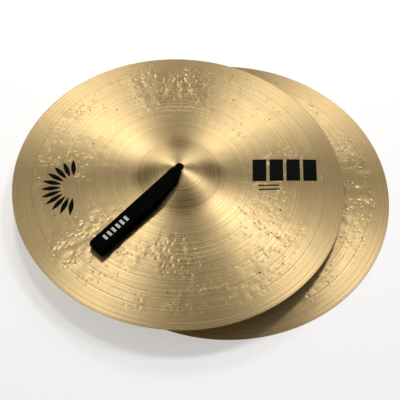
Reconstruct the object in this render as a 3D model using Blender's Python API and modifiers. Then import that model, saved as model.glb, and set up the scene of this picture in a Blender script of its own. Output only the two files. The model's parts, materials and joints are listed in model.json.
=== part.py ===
"""A pair of hand cymbals lying one on the other, each with a leather hand strap tied through its bell.

Units are metres and +Z is up. The origin is at the bottom centre of the pair's bounding box.
Each cymbal has its own empty at the centre of its rim, and everything of that cymbal hangs from it.
Each strap is one strip of leather, folded into a loop and slit into laces at both ends. It is
divided at the bend above the hole, where the loop swings, and into its four laces below that bend.
"""

import math

import bmesh
import bpy
from mathutils import Matrix, Vector

# Cymbal: a shallow bow with a round bell in the middle
RIM_RADIUS = 0.2413
BOW_RISE = 0.0275
BELL_RADIUS = 0.065
BELL_RISE = 0.019
BELL_FULLNESS = 1.3
HOLE_RADIUS = 0.00635
RIM_THICKNESS = 0.0012
BELL_THICKNESS = 0.0018
RIM_LAND = 0.0010
BELL_SEGMENTS = 8
BOW_SEGMENTS = 6
TURN_STEPS = 64

# Strap: the loop for the hand
STRAP_WIDTH = 0.0230
STRAP_THICKNESS = 0.0025
STRAP_REACH = 0.1722
STRAP_SIDESTEP = 0.0073
LOOP_HEIGHT = 0.0165
FOLD_RADIUS = 0.0032
NECK_WIDTH = 0.0110
SHOULDER_REACH = 0.0240
LEAF_POINTS = 18
LEAF_SHARES = (0.9, 0.7, 0.5, 0.3)
TAPER_POINTS = 6
ARC_POINTS = 6
TOUCH_TRIALS = 24

# Laces: the slit ends of the strap, tied in a flat crown knot under the bell
LACE_THICKNESS = 0.0022
LACE_PLAY = 0.0012
TAIL_REACH = 0.034
KNOT_SPREAD = 0.0026
LACE_COUNT = 4
POINTS_PER_STRETCH = 3

# How the pair lies
SHIFT_X = -0.0687
SHIFT_Y = -0.0054
LEAN_X = math.radians(1.50)
LEAN_Y = math.radians(1.63)
UPPER_STRAP_TURN = math.radians(225.7)
LOWER_STRAP_TURN = math.radians(200.0)
LOWER_STRAP_SWIVEL = math.radians(10.0)
CLEARANCE = 0.0003

APEX_HEIGHT = RIM_THICKNESS + BOW_RISE + BELL_RISE
LACE_WIDTH = math.sqrt(2) * (HOLE_RADIUS - LACE_PLAY) - LACE_THICKNESS - 2 * CLEARANCE
LOOP_BEND = (STRAP_THICKNESS + CLEARANCE) / 2
HINGE_HEIGHT = APEX_HEIGHT + CLEARANCE + STRAP_THICKNESS / 2 + LOOP_BEND

BRONZE = ("cast_bronze", (0.62, 0.44, 0.20), 0.28, 1.0)
LEATHER = ("black_leather", (0.018, 0.018, 0.020), 0.62, 0.0)


# ---------------------------------------------------------------- scene helpers


def clear_scene():
    for obj in list(bpy.data.objects):
        bpy.data.objects.remove(obj, do_unlink=True)


def new_collection(name):
    collection = bpy.data.collections.new(name)
    bpy.context.scene.collection.children.link(collection)
    return collection


def material(name, colour, roughness, metallic):
    made = bpy.data.materials.new(name)
    made.use_nodes = True
    shader = made.node_tree.nodes["Principled BSDF"]
    shader.inputs["Base Color"].default_value = (*colour, 1.0)
    shader.inputs["Roughness"].default_value = roughness
    shader.inputs["Metallic"].default_value = metallic
    return made


def add_empty(name, collection, matrix, parent=None):
    empty = bpy.data.objects.new(name, None)
    collection.objects.link(empty)
    empty.empty_display_size = 0.03
    empty.parent = parent
    empty.matrix_local = matrix
    return empty


def add_mesh(name, collection, mesh, parent, look):
    obj = bpy.data.objects.new(name, mesh)
    collection.objects.link(obj)
    obj.parent = parent
    mesh.materials.append(look)
    return obj


# ---------------------------------------------------------------- cymbal


def top_height(radius):
    """Height of the upper face above the surface that the rim lies on."""
    bow = BOW_RISE * (1 - (radius / RIM_RADIUS) ** 2)
    inside_bell = max(0.0, 1 - (radius / BELL_RADIUS) ** 2)
    return RIM_THICKNESS + bow + BELL_RISE * inside_bell**BELL_FULLNESS


def wall(radius):
    return BELL_THICKNESS + (RIM_THICKNESS - BELL_THICKNESS) * radius / RIM_RADIUS


def under_height(radius):
    return top_height(radius) - wall(radius)


def cymbal_radii():
    """Radii of the profile's points, closer together where the bell meets the bow."""
    bell = [
        HOLE_RADIUS + (BELL_RADIUS - HOLE_RADIUS) * math.sin(math.pi / 2 * i / BELL_SEGMENTS)
        for i in range(BELL_SEGMENTS)
    ]
    bow = [
        BELL_RADIUS + (RIM_RADIUS - BELL_RADIUS) * i / BOW_SEGMENTS
        for i in range(BOW_SEGMENTS + 1)
    ]
    return bell + bow


def cymbal_mesh(name):
    """The turned profile: out along the top, down the rim, across its flat land and back underneath."""
    radii = cymbal_radii()
    outline = [(r, top_height(r)) for r in radii]
    outline += [(RIM_RADIUS, 0.0), (RIM_RADIUS - RIM_LAND, 0.0)]
    outline += [(r, under_height(r)) for r in reversed(radii[:-1])]
    mesh = bpy.data.meshes.new(name)
    edges = [(i, (i + 1) % len(outline)) for i in range(len(outline))]
    mesh.from_pydata([(r, 0.0, z) for r, z in outline], edges, [])
    return mesh


def add_cymbal(name, collection, parent, look):
    cymbal = add_mesh(name, collection, cymbal_mesh(name), parent, look)
    screw = cymbal.modifiers.new("turn", "SCREW")
    screw.axis = "Z"
    screw.angle = math.tau
    screw.steps = TURN_STEPS
    screw.render_steps = TURN_STEPS
    screw.use_merge_vertices = True
    screw.merge_threshold = 0.00001
    screw.use_smooth_shade = True
    return cymbal


# ---------------------------------------------------------------- leather strips


def add_strip(name, collection, parent, look, left, right, thickness, closed):
    """A strip of leather between two rows of points, given its thickness by Solidify."""
    shape = bmesh.new()
    rows = [[shape.verts.new(point) for point in row] for row in (left, right)]
    stations = len(left)
    for i in range(stations if closed else stations - 1):
        j = (i + 1) % stations
        shape.faces.new((rows[0][i], rows[0][j], rows[1][j], rows[1][i]))
    mesh = bpy.data.meshes.new(name)
    shape.to_mesh(mesh)
    shape.free()
    strip = add_mesh(name, collection, mesh, parent, look)
    solidify = strip.modifiers.new("leather", "SOLIDIFY")
    solidify.thickness = thickness
    solidify.offset = 0.0
    solidify.use_even_offset = True
    return strip


def arc(centre, radius, start_deg, end_deg, points):
    """Points of an arc in the plane of the loop, both ends included."""
    angles = [math.radians(start_deg + (end_deg - start_deg) * i / points) for i in range(points + 1)]
    return [(centre[0] + radius * math.cos(a), centre[1] + radius * math.sin(a)) for a in angles]


def lower_leaf_point(reach):
    """Centre of the lower leaf, which lies along the cymbal with its clearance."""
    step = 0.0001
    slope = math.atan((top_height(reach + step) - top_height(reach - step)) / (2 * step))
    lift = CLEARANCE + STRAP_THICKNESS / 2
    return (
        reach - lift * math.sin(slope),
        top_height(reach) + lift * math.cos(slope) - HINGE_HEIGHT,
    )


def loop_path():
    """Middle of the leather round the loop, as (reach, height) measured from the hinge."""
    end = STRAP_REACH - STRAP_THICKNESS / 2
    bend_start = end - FOLD_RADIUS
    path = arc((0.0, 0.0), LOOP_BEND, 90, 270, ARC_POINTS + 2)
    first = LOOP_BEND + STRAP_THICKNESS
    for i in range(LEAF_POINTS):
        path.append(lower_leaf_point(first + (bend_start - first) * i / (LEAF_POINTS - 1)))
    low = path[-1][1] + FOLD_RADIUS
    high = low + LOOP_HEIGHT - STRAP_THICKNESS - 2 * FOLD_RADIUS
    path += arc((bend_start, low), FOLD_RADIUS, -80, 0, ARC_POINTS)
    path += arc((bend_start, high), FOLD_RADIUS, 0, 82, ARC_POINTS)
    leaf_start = path[-1]
    for share in LEAF_SHARES:
        path.append(upper_leaf_point(leaf_start, leaf_start[0] * share))
    for i in range(TAPER_POINTS - 1):
        path.append(upper_leaf_point(leaf_start, SHOULDER_REACH * (1 - i / TAPER_POINTS)))
    return path


def resting_leaf_point(reach):
    """Centre of the upper leaf where it lies on the lower one."""
    along, height = lower_leaf_point(reach)
    return along, height + STRAP_THICKNESS + CLEARANCE


def upper_leaf_point(leaf_start, reach):
    """Centre of the upper leaf: straight from the far fold to where it meets the lower leaf, then lying on it."""

    def steepness(trial):
        along, height = resting_leaf_point(trial)
        return (height - leaf_start[1]) / (leaf_start[0] - along)

    touch = max((SHOULDER_REACH * i / TOUCH_TRIALS for i in range(1, TOUCH_TRIALS + 1)), key=steepness)
    if reach < touch:
        return resting_leaf_point(reach)
    return reach, leaf_start[1] + steepness(touch) * (leaf_start[0] - reach)


def strap_edges(reach):
    """Where the strap's two edges are, to either side of the hinge's middle."""
    share = min(1.0, max(0.0, reach / SHOULDER_REACH))
    half = NECK_WIDTH / 2 + (STRAP_WIDTH - NECK_WIDTH) / 2 * share
    middle = STRAP_SIDESTEP * share
    return middle - half, middle + half


def add_handle(name, collection, parent, look):
    path = loop_path()
    rows = [[], []]
    for reach, height in path:
        for row, side in zip(rows, strap_edges(reach)):
            row.append((reach, side, height))
    return add_strip(name, collection, parent, look, rows[1], rows[0], STRAP_THICKNESS, True)


# ---------------------------------------------------------------- crown knot


def spline(points, per_stretch):
    """A smooth curve through the points, as Catmull and Rom's formula gives it."""
    padded = [2 * points[0] - points[1], *points, 2 * points[-1] - points[-2]]
    curve = []
    for a, b, c, d in zip(padded, padded[1:], padded[2:], padded[3:]):
        for i in range(per_stretch):
            t = i / per_stretch
            curve.append(
                0.5 * (2 * b + (c - a) * t + (2 * a - 5 * b + 4 * c - d) * t**2 + (3 * b - a - 3 * c + d) * t**3)
            )
    return [*curve, points[-1]]


def lace_route():
    """Middle of one lace: down through the hole, across the centre and below its neighbour, then out.

    Heights are from the top of the hole. The other laces are this one turned by quarter turns.
    """
    side = LACE_THICKNESS / 2 + CLEARANCE
    back = LACE_WIDTH / 2 + CLEARANCE
    lane = KNOT_SPREAD + LACE_WIDTH / 2
    step = lane - side
    under = -BELL_THICKNESS
    bend = LACE_THICKNESS
    drop = LACE_THICKNESS * 1.3 + 2 * CLEARANCE
    cross = under - 2.5 * bend
    out = lane + LACE_WIDTH / 2
    tail = TAIL_REACH - out
    return [
        Vector((-side, back, -CLEARANCE)),
        Vector((-side - 0.1 * step, back, under - 0.25 * bend)),
        Vector((-side - 0.45 * step, back, under - 1.0 * bend)),
        Vector((-side - 0.82 * step, 0.95 * back, under - 1.75 * bend)),
        Vector((-lane, 0.7 * KNOT_SPREAD, cross)),
        Vector((-lane, -0.3 * KNOT_SPREAD, cross - 0.6 * drop)),
        Vector((-lane, -1.3 * KNOT_SPREAD, cross - drop)),
        Vector((-lane, -out, cross - 1.15 * drop)),
        Vector((-lane, -out - 0.5 * tail, cross - 1.15 * drop - 0.06 * tail)),
        Vector((-lane, -TAIL_REACH, cross - 1.15 * drop - 0.18 * tail)),
    ]


def add_lace(name, collection, parent, look, quarter):
    route = spline(lace_route(), POINTS_PER_STRETCH)
    turn = Matrix.Rotation(quarter * math.tau / LACE_COUNT, 3, "Z")
    rows = [[], []]
    for i, point in enumerate(route):
        ahead = route[min(i + 1, len(route) - 1)] - route[max(i - 1, 0)]
        across = (Vector((1, 0, 0)) - ahead * ahead.x / ahead.length_squared).normalized()
        for row, sign in zip(rows, (-1, 1)):
            row.append(turn @ (point + across * sign * LACE_WIDTH / 2))
    return add_strip(name, collection, parent, look, *rows, LACE_THICKNESS, False)


# ---------------------------------------------------------------- how the pair lies


def upper_matrix(height):
    """Place of the upper cymbal over the lower: shifted, raised, and leaning towards +X and +Y."""
    lean = Vector((math.sin(LEAN_X), math.sin(LEAN_Y), 0.0))
    lean.z = math.sqrt(1 - lean.length_squared)
    tilt = Vector((0, 0, 1)).rotation_difference(lean).to_matrix().to_4x4()
    return Matrix.Translation((SHIFT_X, SHIFT_Y, height)) @ tilt


def room_over(points, upper):
    """The least distance from the points up to the upper cymbal's underside, less the clearance."""
    to_upper = upper.inverted()
    room = []
    for point in points:
        seen = to_upper @ point
        room.append(under_height(math.hypot(seen.x, seen.y)) - seen.z)
    return min(room) - CLEARANCE


def stack_height():
    """Height at which the upper cymbal just clears the bend of the lower strap, however that is turned."""
    reach = math.hypot(NECK_WIDTH, 2 * LOOP_BEND) / 2
    top = HINGE_HEIGHT + LOOP_BEND + STRAP_THICKNESS / 2
    turns = [math.tau * i / TURN_STEPS for i in range(TURN_STEPS)]
    ring = [Vector((reach * math.cos(a), reach * math.sin(a), top)) for a in turns]
    height = HINGE_HEIGHT
    for _ in range(4):
        height -= room_over(ring, upper_matrix(height))
    return height


def handle_corners(raised, swivel):
    """Outer corners of the lower strap's loop in its cymbal's frame, with the loop raised and turned."""
    turn = Matrix.Rotation(LOWER_STRAP_TURN + swivel, 4, "Z")
    place = turn @ Matrix.Translation((0, 0, HINGE_HEIGHT)) @ Matrix.Rotation(-raised, 4, "Y")
    corners = []
    for reach, height in loop_path():
        for side in strap_edges(reach):
            corners.append(place @ Vector((reach, side, height + STRAP_THICKNESS / 2)))
    return corners


def lower_strap_raise(upper):
    """Angle at which the lower strap's far end comes up under the upper cymbal and props it."""
    swivels = (-LOWER_STRAP_SWIVEL, 0.0, LOWER_STRAP_SWIVEL)
    low, high = 0.0, math.radians(30)
    for _ in range(24):
        middle = (low + high) / 2
        if min(room_over(handle_corners(middle, swivel), upper) for swivel in swivels) > 0:
            low = middle
        else:
            high = middle
    return low


def centring_shift(upper):
    """Moves the pair so that its bounding box stands centred over the origin."""
    axis = upper.to_3x3() @ Vector((0, 0, 1))
    shift = Vector()
    for i in (0, 1):
        half = RIM_RADIUS * math.sqrt(1 - axis[i] ** 2)
        low = min(-RIM_RADIUS, upper.translation[i] - half)
        high = max(RIM_RADIUS, upper.translation[i] + half)
        shift[i] = -(low + high) / 2
    return Matrix.Translation(shift)


# ---------------------------------------------------------------- assembly


def build_cymbal(label, collection, matrix, strap_turn, raised, looks):
    """One cymbal with its strap: the cymbal, the loop on its hinge, and the laces on the swivel axis."""
    bronze, leather = looks
    rim = add_empty(f"{label}_rim_centre", collection, matrix)
    swivel_place = Matrix.Translation((0, 0, APEX_HEIGHT)) @ Matrix.Rotation(strap_turn, 4, "Z")
    swivel = add_empty(f"{label}_swivel_axis", collection, swivel_place, rim)
    hinge_place = Matrix.Translation((0, 0, HINGE_HEIGHT - APEX_HEIGHT)) @ Matrix.Rotation(-raised, 4, "Y")
    hinge = add_empty(f"{label}_hinge_axis", collection, hinge_place, swivel)
    add_cymbal(f"{label}_cymbal", collection, rim, bronze)
    add_handle(f"{label}_strap_handle", collection, hinge, leather)
    for quarter in range(LACE_COUNT):
        add_lace(f"{label}_lace_{quarter + 1}", collection, swivel, leather, quarter)


def main():
    clear_scene()
    collection = new_collection("hand_cymbals")
    looks = (material(*BRONZE), material(*LEATHER))
    upper = upper_matrix(stack_height())
    centring = centring_shift(upper)
    raised = lower_strap_raise(upper)
    build_cymbal("lower", collection, centring, LOWER_STRAP_TURN, raised, looks)
    build_cymbal("upper", collection, centring @ upper, UPPER_STRAP_TURN, 0.0, looks)


main()
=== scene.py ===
"""A pair of orchestral hand cymbals, one lying offset on the other, each with a leather hand strap.

Everything is in metres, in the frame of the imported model. Each cymbal is turned, grooved and
hammered bronze. Each strap is one strip of leather, folded into a loop for the hand, whose slit
ends go down through the cymbal's hole and are tied there in a flat crown knot.
"""

import json
import logging
import math
import random
from dataclasses import dataclass
from enum import Enum
from typing import Any, Optional, Sequence

import bmesh
import bpy
from mathutils import Matrix, Vector


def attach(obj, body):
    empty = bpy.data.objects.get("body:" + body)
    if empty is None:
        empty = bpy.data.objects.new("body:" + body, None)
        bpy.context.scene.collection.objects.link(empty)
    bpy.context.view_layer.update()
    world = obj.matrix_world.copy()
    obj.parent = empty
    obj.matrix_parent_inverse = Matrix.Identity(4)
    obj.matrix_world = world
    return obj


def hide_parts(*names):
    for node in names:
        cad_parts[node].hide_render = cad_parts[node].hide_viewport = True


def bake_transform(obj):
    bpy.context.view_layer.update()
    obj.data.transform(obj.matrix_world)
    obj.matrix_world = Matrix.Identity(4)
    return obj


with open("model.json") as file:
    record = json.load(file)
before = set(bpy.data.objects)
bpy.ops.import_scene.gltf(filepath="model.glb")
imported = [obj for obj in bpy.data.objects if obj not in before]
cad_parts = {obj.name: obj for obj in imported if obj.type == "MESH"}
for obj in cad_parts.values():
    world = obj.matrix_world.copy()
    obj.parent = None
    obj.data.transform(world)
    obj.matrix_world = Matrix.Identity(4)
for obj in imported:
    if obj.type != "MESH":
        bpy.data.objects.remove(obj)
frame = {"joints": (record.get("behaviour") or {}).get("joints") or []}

LOG = logging.getLogger("hand_cymbals")

Socket = bpy.types.NodeSocket
Pair = tuple[float, float]
Triple = tuple[float, float, float]


class Side(Enum):
    """Which of the two cymbals, as the bodies are named."""

    LOWER = "lower"
    UPPER = "upper"


class Slot(Enum):
    """Material slots of the record."""

    BRONZE = "bronze"
    LEATHER = "leather"


def stand(name: str, data: Any) -> bpy.types.Object:
    """Puts a new object into the scene.

    Args:
        name: the object's name.
        data: its mesh, camera or light.

    Returns:
        The object.
    """
    thing = bpy.data.objects.new(name, data)
    bpy.context.scene.collection.objects.link(thing)
    return thing


# ---------------------------------------------------------------- node trees


class TreeBuilder:
    """Adds nodes to one tree and joins them, so that a formula reads as a row of calls."""

    def __init__(self, tree: bpy.types.NodeTree) -> None:
        """Keeps the tree that the nodes go into."""
        self.tree = tree

    def add(self, kind: str, inputs: Optional[dict[Any, Any]] = None, **settings: Any) -> bpy.types.Node:
        """Adds one node.

        Args:
            kind: the node's type.
            inputs: for each input, by name or number, the socket to join or the value to set.
            **settings: properties of the node itself.

        Returns:
            The new node.
        """
        node = self.tree.nodes.new(kind)
        for name, value in settings.items():
            setattr(node, name, value)
        for key, value in (inputs or {}).items():
            self.feed(node.inputs[key], value)
        return node

    def feed(self, socket: Socket, value: Any) -> None:
        """Joins another socket to this one, or sets its value."""
        if isinstance(value, bpy.types.NodeSocket):
            self.tree.links.new(value, socket)
        else:
            socket.default_value = value

    def math(self, operation: str, *values: Any) -> Socket:
        """Adds a Math node with its inputs in order, and returns its result."""
        return self.add("ShaderNodeMath", dict(enumerate(values)), operation=operation).outputs[0]

    def plus(self, first: Any, second: Any) -> Socket:
        """Adds two numbers."""
        return self.math("ADD", first, second)

    def minus(self, first: Any, second: Any) -> Socket:
        """Takes the second number from the first."""
        return self.math("SUBTRACT", first, second)

    def times(self, first: Any, second: Any) -> Socket:
        """Multiplies two numbers."""
        return self.math("MULTIPLY", first, second)

    def times_plus(self, first: Any, second: Any, third: Any) -> Socket:
        """Multiplies the first two numbers and adds the third."""
        return self.math("MULTIPLY_ADD", first, second, third)

    def vector(self, operation: str, *values: Any) -> Socket:
        """Adds a Vector Math node and returns its vector, or its number where it gives one."""
        node = self.add("ShaderNodeVectorMath", dict(enumerate(values)), operation=operation)
        return node.outputs["Value" if operation in ("LENGTH", "DOT_PRODUCT") else "Vector"]

    def scaled(self, vector: Any, amount: Any) -> Socket:
        """Makes a vector longer or shorter."""
        return self.add("ShaderNodeVectorMath", {0: vector, "Scale": amount}, operation="SCALE").outputs[0]

    def joined(self, x: Any = 0.0, y: Any = 0.0, z: Any = 0.0) -> Socket:
        """Makes a vector of three numbers."""
        return self.add("ShaderNodeCombineXYZ", {0: x, 1: y, 2: z}).outputs[0]

    def parted(self, vector: Any) -> list[Socket]:
        """Gives the three numbers of a vector."""
        return list(self.add("ShaderNodeSeparateXYZ", {0: vector}).outputs)

    def smooth_step(self, value: Any, start: Any, end: Any) -> Socket:
        """Rises smoothly from 0 at start to 1 at end."""
        node = self.add(
            "ShaderNodeMapRange",
            {"Value": value, "From Min": start, "From Max": end},
            interpolation_type="SMOOTHSTEP",
        )
        return node.outputs[0]

    def noise(self, place: Any, scale: float, detail: float = 2.0, seed: Any = 0.0) -> Socket:
        """Adds soft noise over a place in space, from 0 to 1."""
        node = self.add(
            "ShaderNodeTexNoise",
            {"Vector": place, "W": seed, "Scale": scale, "Detail": detail},
            noise_dimensions="4D",
        )
        return node.outputs[0]

    def line_noise(self, along: Any, scale: float) -> Socket:
        """Adds noise that changes along one number only, from 0 to 1."""
        inputs = {"W": along, "Scale": scale, "Detail": 1.0}
        return self.add("ShaderNodeTexNoise", inputs, noise_dimensions="1D").outputs[0]


class ShaderBuilder(TreeBuilder):
    """Builds one surface's nodes."""

    def __init__(self, name: str) -> None:
        """Starts a new material with its shader and output.

        Args:
            name: the material's name.
        """
        self.material = bpy.data.materials.new(name)
        self.material.use_nodes = True
        super().__init__(self.material.node_tree)
        self.shader = self.tree.nodes["Principled BSDF"]

    def own_place(self, place: Matrix) -> Socket:
        """Gives a point's place in the piece's own frame.

        Args:
            place: matrix from the piece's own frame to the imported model's.

        Returns:
            The socket of the place.
        """
        inverse = place.inverted()
        coordinates = self.add("ShaderNodeTexCoord")
        mapping = self.add(
            "ShaderNodeMapping",
            {
                "Vector": coordinates.outputs["Object"],
                "Location": inverse.translation,
                "Rotation": inverse.to_euler(),
            },
        )
        return mapping.outputs[0]

    def mix(self, share: Any, first: Any, second: Any) -> Socket:
        """Mixes two colours.

        Args:
            share: 0 for the first colour, 1 for the second.
            first: a colour or a socket.
            second: a colour or a socket.

        Returns:
            The socket of the mixed colour.
        """
        node = self.add("ShaderNodeMix", data_type="RGBA")
        self.feed(node.inputs[0], share)
        for number, colour in ((6, first), (7, second)):
            value = colour if isinstance(colour, bpy.types.NodeSocket) else (*colour, 1.0)
            self.feed(node.inputs[number], value)
        return node.outputs[2]

    def set_even(self, **values: float) -> None:
        """Sets values that are the same all over, by the shader's own names with _ for a space."""
        for name, value in values.items():
            self.shader.inputs[name.replace("_", " ")].default_value = value

    def finish(self, colour: Socket, roughness: Socket, height: Socket, depth: float) -> bpy.types.Material:
        """Joins the last nodes to the shader.

        Args:
            colour: base colour.
            roughness: roughness.
            height: relief, in units of depth.
            depth: what one unit of relief is in metres.

        Returns:
            The finished material.
        """
        bump = self.add("ShaderNodeBump", {"Strength": 1.0, "Distance": depth, "Height": height})
        self.feed(self.shader.inputs["Base Color"], colour)
        self.feed(self.shader.inputs["Roughness"], roughness)
        self.feed(self.shader.inputs["Normal"], bump.outputs[0])
        return self.material


class GeometryBuilder(TreeBuilder):
    """Builds one Geometry Nodes tree with named inputs, and runs it on a mesh."""

    def __init__(self, name: str) -> None:
        """Starts a new tree with its input and output.

        Args:
            name: the tree's name.
        """
        super().__init__(bpy.data.node_groups.new(name, "GeometryNodeTree"))
        self.tree.interface.new_socket("Geometry", in_out="INPUT", socket_type="NodeSocketGeometry")
        self.tree.interface.new_socket("Geometry", in_out="OUTPUT", socket_type="NodeSocketGeometry")
        self.entry = self.tree.nodes.new("NodeGroupInput")
        self.exit = self.tree.nodes.new("NodeGroupOutput")
        self.values: dict[str, Any] = {}

    def input(self, name: str, kind: str, value: Any) -> Socket:
        """Adds a named input.

        Args:
            name: what the input is called.
            kind: Float, Int, Vector, Material or Object.
            value: what the modifier is given.

        Returns:
            The input's socket inside the tree.
        """
        self.tree.interface.new_socket(name, in_out="INPUT", socket_type=f"NodeSocket{kind}")
        self.values[name] = value
        return self.entry.outputs[name]

    def close(self, geometry: Socket, material: bpy.types.Material) -> None:
        """Ends the tree with its instances made real and its material set.

        Args:
            geometry: the geometry to end with.
            material: what it is made of.
        """
        real = self.add("GeometryNodeRealizeInstances", {"Geometry": geometry})
        look = self.input("Material", "Material", material)
        dressed = self.add("GeometryNodeSetMaterial", {"Geometry": real.outputs[0], "Material": look})
        self.feed(self.exit.inputs[0], dressed.outputs[0])

    def copies(self, points: Socket, angle: Socket) -> Socket:
        """Sets a copy of the tree's own mesh at each point.

        Args:
            points: the points.
            angle: how far each copy is turned about Z.

        Returns:
            The copies.
        """
        own = self.entry.outputs["Geometry"]
        inputs = {"Points": points, "Instance": own, "Rotation": self.joined(z=angle)}
        return self.add("GeometryNodeInstanceOnPoints", inputs).outputs[0]

    def run(self, name: str, base: bpy.types.Mesh, place: Matrix) -> bpy.types.Object:
        """Runs the tree and keeps the result as a plain mesh.

        Args:
            name: the piece's name.
            base: the mesh that the tree starts from.
            place: matrix from the piece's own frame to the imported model's.

        Returns:
            The finished piece, standing at the origin with its place in its mesh.
        """
        carrier = stand(f"{name}_carrier", base)
        modifier = carrier.modifiers.new(name, "NODES")
        modifier.node_group = self.tree
        for item in self.tree.interface.items_tree:
            if item.in_out == "INPUT" and item.name in self.values:
                modifier[item.identifier] = self.values[item.name]
        graph = bpy.context.evaluated_depsgraph_get()
        mesh = bpy.data.meshes.new_from_object(carrier.evaluated_get(graph))
        carrier.modifiers.clear()
        bpy.data.objects.remove(carrier)
        mesh.name = name
        mesh.transform(place)
        return stand(name, mesh)


# ---------------------------------------------------------------- finishes


@dataclass(frozen=True)
class Rings:
    """One family of fine rings: how close they stand and how much they count."""

    per_metre: float
    strength: float


@dataclass(frozen=True)
class BronzeFinish:
    """Cast bronze, lathed in rings and hammered.

    A relief is in units of groove_depth. A name that ends in per_metre is how many features of
    noise come to a metre. A pair of shares says where something fades in or out: of the bell's
    radius for the inner side, and of the rim's radius for the outer side. A spot of painted shade
    at the bell's foot is the place of its middle across and along, and how far it spreads.
    """

    pale: Triple = (0.71, 0.545, 0.295)
    deep: Triple = (0.55, 0.385, 0.17)
    # painted shade: the dark brown laid round the bell's foot, where its bend is in shade
    painted_foot_shade: Triple = (0.27, 0.175, 0.075)
    pit: Triple = (0.10, 0.065, 0.035)
    # middles and spreads of the spots of painted shade round the bell's foot
    painted_foot_shade_spots: tuple[Triple, ...] = (
        (-0.048, -0.006, 0.026),
        (0.009, -0.053, 0.032),
        (0.047, 0.006, 0.024),
        (0.001, 0.052, 0.025),
    )
    seed: float = 3.0
    roughness: float = 0.37
    patch_roughness: float = 0.07
    groove_roughness: float = 0.09
    brushing: float = 1.0
    brushing_turn: float = 0.25
    groove_depth: float = 0.00014
    fine_rings: Rings = Rings(1050.0, 0.35)
    middle_rings: Rings = Rings(420.0, 0.75)
    wide_rings: Rings = Rings(130.0, 0.2)
    buffed_rings: Rings = Rings(640.0, 0.22)
    buffing_centre: Triple = (0.013, -0.009, 0.0)
    drift: float = 0.0016
    drift_per_metre: float = 9.0
    lines_per_metre: float = 150.0
    line_width: float = 0.014
    line_relief: float = 0.3
    line_darkness: float = 0.13
    patches_per_metre: float = 13.0
    patch_fade: Pair = (0.36, 0.62)
    dents_per_metre: float = 125.0
    dent_relief: float = 1.3
    dent_shift: float = 0.006
    dent_shifts_per_metre: float = 120.0
    dents_inner: Pair = (1.1, 2.2)
    dents_outer: Pair = (0.95, 0.86)
    pits_per_metre: float = 62.0
    pit_share: float = 0.25
    pit_relief: float = 1.5
    pit_edge: Pair = (0.12, 0.07)
    pits_inner: Pair = (1.0, 2.0)
    pits_outer: Pair = (0.95, 0.9)
    mark_darkness: float = 0.85
    clouds_per_metre: float = 14.0
    cloud_share: float = 0.5
    groove_fade: Pair = (0.55, 0.98)
    groove_share: float = 0.6
    foot_shade_raggedness: float = 0.5
    rags_per_metre: float = 55.0
    foot_shade_fade: Pair = (1.1, 0.15)
    foot_shade_strength: float = 0.5
    foot_shade_in_grooves: float = 0.35

    def make(self, name: str, place: Matrix, shape: "CymbalShape") -> bpy.types.Material:
        """Builds the material of one cymbal.

        Args:
            name: the material's name.
            place: matrix from the cymbal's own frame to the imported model's.
            shape: the cymbal's sizes, which the bands of the finish follow.

        Returns:
            The material.
        """
        nodes = ShaderBuilder(name)
        own = nodes.own_place(place)
        across, along, _ = nodes.parted(own)
        flat = nodes.joined(across, along)
        radius = nodes.vector("LENGTH", flat)
        grooves, lines = self.grooves(nodes, own, flat, radius)
        patches, dents = self.hammering(nodes, flat, radius, shape)
        pits = self.pits(nodes, flat, radius, shape)
        marks = nodes.math("MAXIMUM", pits, nodes.times(lines, self.line_darkness))
        colour = self.colour(nodes, flat, grooves, marks)
        height = nodes.plus(grooves, nodes.times(dents, self.dent_relief))
        height = nodes.minus(height, nodes.times(pits, self.pit_relief))
        height = nodes.minus(height, nodes.times(lines, self.line_relief))
        worn = nodes.times_plus(patches, self.patch_roughness, self.roughness - self.patch_roughness / 2)
        even = nodes.minus(worn, self.groove_roughness / 2)
        roughness = nodes.times_plus(grooves, self.groove_roughness, even)
        tangent = nodes.add("ShaderNodeTangent", direction_type="RADIAL", axis="Z")
        nodes.feed(nodes.shader.inputs["Tangent"], tangent.outputs[0])
        nodes.set_even(Metallic=1.0, Anisotropic=self.brushing, Anisotropic_Rotation=self.brushing_turn)
        return nodes.finish(colour, roughness, height, self.groove_depth)

    @staticmethod
    def band(
        nodes: ShaderBuilder, radius: Socket, shape: "CymbalShape", inner: Pair, outer: Pair
    ) -> Socket:
        """The ring of the cymbal where something is found, fading at both sides.

        Args:
            nodes: the material's nodes.
            radius: distance from the cymbal's axis.
            shape: the cymbal's sizes.
            inner: where it fades in, in shares of the bell's radius.
            outer: where it fades out, in shares of the rim's radius.

        Returns:
            1 in the ring and 0 outside it.
        """
        inside = nodes.smooth_step(radius, *[shape.bell_radius * share for share in inner])
        outside = nodes.smooth_step(radius, *[shape.rim_radius * share for share in outer])
        return nodes.times(inside, outside)

    def grooves(
        self, nodes: ShaderBuilder, own: Socket, flat: Socket, radius: Socket
    ) -> tuple[Socket, Socket]:
        """The lathe's rings, and the few deeper lines where a pass of the tool ended.

        Args:
            nodes: the material's nodes.
            own: place in the cymbal's own frame.
            flat: the same place with no height.
            radius: distance from the cymbal's axis.

        Returns:
            The relief of the rings, and 1 on the deeper lines.
        """
        unsteady = nodes.noise(own, self.drift_per_metre, 1.0, self.seed)
        along = nodes.plus(radius, nodes.times(unsteady, self.drift))
        aside = nodes.vector("LENGTH", nodes.vector("SUBTRACT", flat, self.buffing_centre))
        relief: Any = 0.0
        for way, rings in (
            (along, self.middle_rings),
            (along, self.fine_rings),
            (aside, self.buffed_rings),
            (radius, self.wide_rings),
        ):
            relief = nodes.times_plus(nodes.line_noise(way, rings.per_metre), rings.strength, relief)
        pass_ends = nodes.math("ABSOLUTE", nodes.minus(nodes.line_noise(along, self.lines_per_metre), 0.5))
        return relief, nodes.smooth_step(pass_ends, self.line_width, 0.0)

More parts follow.
